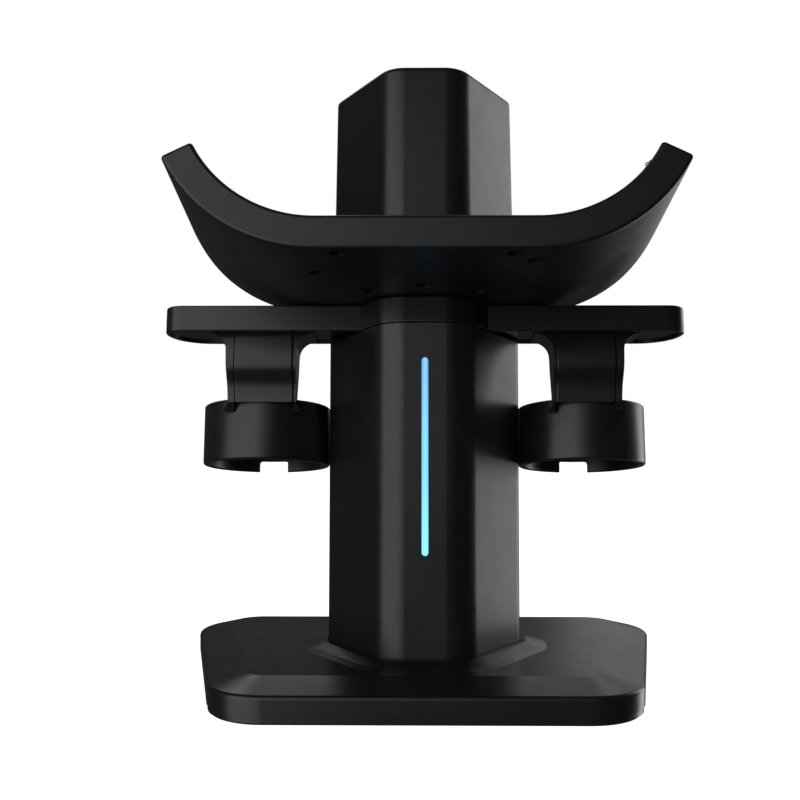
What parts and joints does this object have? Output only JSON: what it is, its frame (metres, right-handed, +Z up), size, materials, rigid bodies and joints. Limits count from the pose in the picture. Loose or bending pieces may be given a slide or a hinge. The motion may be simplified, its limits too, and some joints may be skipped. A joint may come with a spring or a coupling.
{
  "type": "vr headset charging stand",
  "caption": "Free-standing charging stand with a curved tray for a headset, a rear pillar, a cross bar with two open rings for controllers and a lit column on a bevelled base.",
  "frame": {"origin": "on the table under the middle of the overall box", "axes": "+Z up, +Y to the back, +X to the viewer's right; the light bar faces -Y"},
  "size_m": [0.199, 0.1608, 0.24],
  "materials": {
    "black_shell": "satin moulded, fine grain",
    "soft_pad": "matt silicone",
    "zinc_steel": "zinc plated",
    "dark_screw": "black oxide",
    "circuit_board": "solder mask",
    "socket_steel": "nickel plated",
    "light_bar": "milky, lit from behind",
    "led_chip": "white package",
    "wire_sleeve": "braided sleeve",
    "gold_contact": "gold plated",
    "contact_block": "moulded insulator"
  },
  "bodies": {
    "stand": {"arm_screws": "dark_screw", "ballast_plate": "zinc_steel", "base_cover": "black_shell", "base_plate": "black_shell", "base_screws": "dark_screw", "charge_block": "contact_block", "column_front_shell": "black_shell", "column_rear_shell": "black_shell", "column_screws": "dark_screw", "cradle_lower_shell": "black_shell", "cradle_pad": "soft_pad", "cradle_screws": "dark_screw", "cradle_upper_shell": "black_shell", "cross_bar_cover": "black_shell", "cross_bar_shell": "black_shell", "flange_screws": "dark_screw", "left_arm": "black_shell", "left_arm_panel": "black_shell", "left_contact_block": "contact_block", "left_ring": "black_shell", "light_board": "circuit_board", "light_diffuser": "light_bar", "light_leds": "led_chip", "non_slip_pad": "soft_pad", "pillar_front_shell": "black_shell", "pillar_rear_shell": "black_shell", "pillar_screws": "dark_screw", "power_board": "circuit_board", "power_inlet": "socket_steel", "right_arm": "black_shell", "right_arm_panel": "black_shell", "right_contact_block": "contact_block", "right_ring": "black_shell", "spine_flange": "zinc_steel", "spine_tube": "zinc_steel", "wire_loom": "wire_sleeve"},
    "charge_pin": {"charge_pin": "gold_contact"},
    "left_inner_pin": {"left_inner_pin": "gold_contact"},
    "left_outer_pin": {"left_outer_pin": "gold_contact"},
    "right_inner_pin": {"right_inner_pin": "gold_contact"},
    "right_outer_pin": {"right_outer_pin": "gold_contact"}
  },
  "joints": [
    {"name": "left_inner_contact_press", "type": "slide", "parent": "stand", "child": "left_inner_pin", "axis": [0, -0.9848, 0.1736], "range_m": [0, 0.0012], "stiffness_N_per_m": 500, "springref_m": -0.0004},
    {"name": "left_outer_contact_press", "type": "slide", "parent": "stand", "child": "left_outer_pin", "axis": [0, -0.9848, 0.1736], "range_m": [0, 0.0012], "stiffness_N_per_m": 500, "springref_m": -0.0004},
    {"name": "right_inner_contact_press", "type": "slide", "parent": "stand", "child": "right_inner_pin", "axis": [0, -0.9848, 0.1736], "range_m": [0, 0.0012], "stiffness_N_per_m": 500, "springref_m": -0.0004},
    {"name": "right_outer_contact_press", "type": "slide", "parent": "stand", "child": "right_outer_pin", "axis": [0, -0.9848, 0.1736], "range_m": [0, 0.0012], "stiffness_N_per_m": 500, "springref_m": -0.0004},
    {"name": "charge_contact_press", "type": "slide", "parent": "stand", "child": "charge_pin", "axis": [0.829, -0.0971, -0.5507], "range_m": [0, 0.0007], "stiffness_N_per_m": 500, "springref_m": -0.0004}
  ]
}
